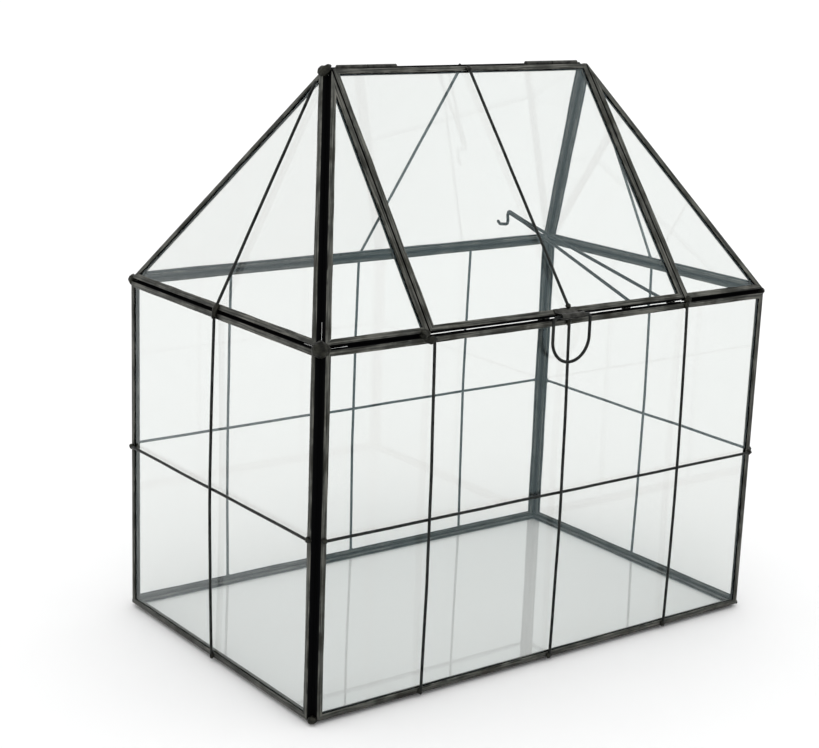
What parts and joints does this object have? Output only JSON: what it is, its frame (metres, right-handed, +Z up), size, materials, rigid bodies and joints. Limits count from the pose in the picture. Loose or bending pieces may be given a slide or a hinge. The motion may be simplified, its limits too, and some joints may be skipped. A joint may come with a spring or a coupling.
{
  "type": "glass terrarium with hinged lid",
  "caption": "House-shaped glass terrarium with a soldered metal frame, a hinged roof pane, a drop pull and a prop rod.",
  "frame": {"origin": "middle of the underside of the base, on the surface that the terrarium stands on", "axes": "+Z up, X along the ridge, +Y from the lid side (front) to the back"},
  "size_m": [0.2732, 0.174, 0.2758],
  "materials": {
    "glass": "clear 2 mm sheet glass with a faint green edge",
    "channel": "dark patinated folded metal, satin, brushed along its length",
    "wire": "dark patinated wire, satin",
    "hinge_metal": "dark patinated tube and folded sheet, satin",
    "solder": "rough blackened solder, with a dull shine"
  },
  "bodies": {
    "case": {"apex_solder": "solder", "back_slope_channel": "channel", "back_slope_glass": "glass", "back_slope_wire": "wire", "back_wall_channel": "channel", "back_wall_glass": "glass", "back_wall_rail": "wire", "back_wall_uprights": "wire", "base_corner_solder": "solder", "case_hinge_solder": "solder", "crossing_solder": "solder", "eave_corner_solder": "solder", "floor_channel": "channel", "floor_glass": "glass", "front_left_slope_channel": "channel", "front_left_slope_glass": "glass", "front_right_slope_channel": "channel", "front_right_slope_glass": "glass", "front_wall_channel": "channel", "front_wall_glass": "glass", "front_wall_rail": "wire", "front_wall_uprights": "wire", "left_case_knuckle": "hinge_metal", "left_hinge_pin": "hinge_metal", "left_hip_channel": "channel", "left_hip_glass": "glass", "left_hip_wire": "wire", "left_wall_channel": "channel", "left_wall_glass": "glass", "left_wall_rail": "wire", "left_wall_uprights": "wire", "lid_corner_joint_solder": "solder", "rail_solder": "solder", "right_case_knuckle": "hinge_metal", "right_hinge_pin": "hinge_metal", "right_hip_channel": "channel", "right_hip_glass": "glass", "right_hip_wire": "wire", "right_wall_channel": "channel", "right_wall_glass": "glass", "right_wall_rail": "wire", "right_wall_uprights": "wire", "upright_solder": "solder"},
    "lid": {"left_lid_knuckle": "hinge_metal", "lid_channel": "channel", "lid_glass": "glass", "lid_hinge_solder": "solder", "lid_wire": "wire", "lid_wire_solder": "solder", "prop_eye_solder": "solder", "prop_eyes": "hinge_metal", "pull_clip": "hinge_metal", "right_lid_knuckle": "hinge_metal"},
    "handle": {"pull_loop": "wire"},
    "prop": {"prop_hook_leg": "wire", "prop_side_leg": "wire"}
  },
  "joints": [
    {"name": "lid_hinge", "type": "hinge", "parent": "case", "child": "lid", "pos_m": [0, 0, 0.2737], "axis": [-1, 0, 0], "range_deg": [0, 150]},
    {"name": "handle_pivot", "type": "hinge", "parent": "lid", "child": "handle", "pos_m": [0.001, -0.08641, 0.16899], "axis": [-1, 0, 0], "range_deg": [0, 180]},
    {"name": "prop_pivot", "type": "hinge", "parent": "lid", "child": "prop", "pos_m": [0.057, -0.07748, 0.16759], "axis": [1, 0, 0], "range_deg": [-96, 30]}
  ]
}
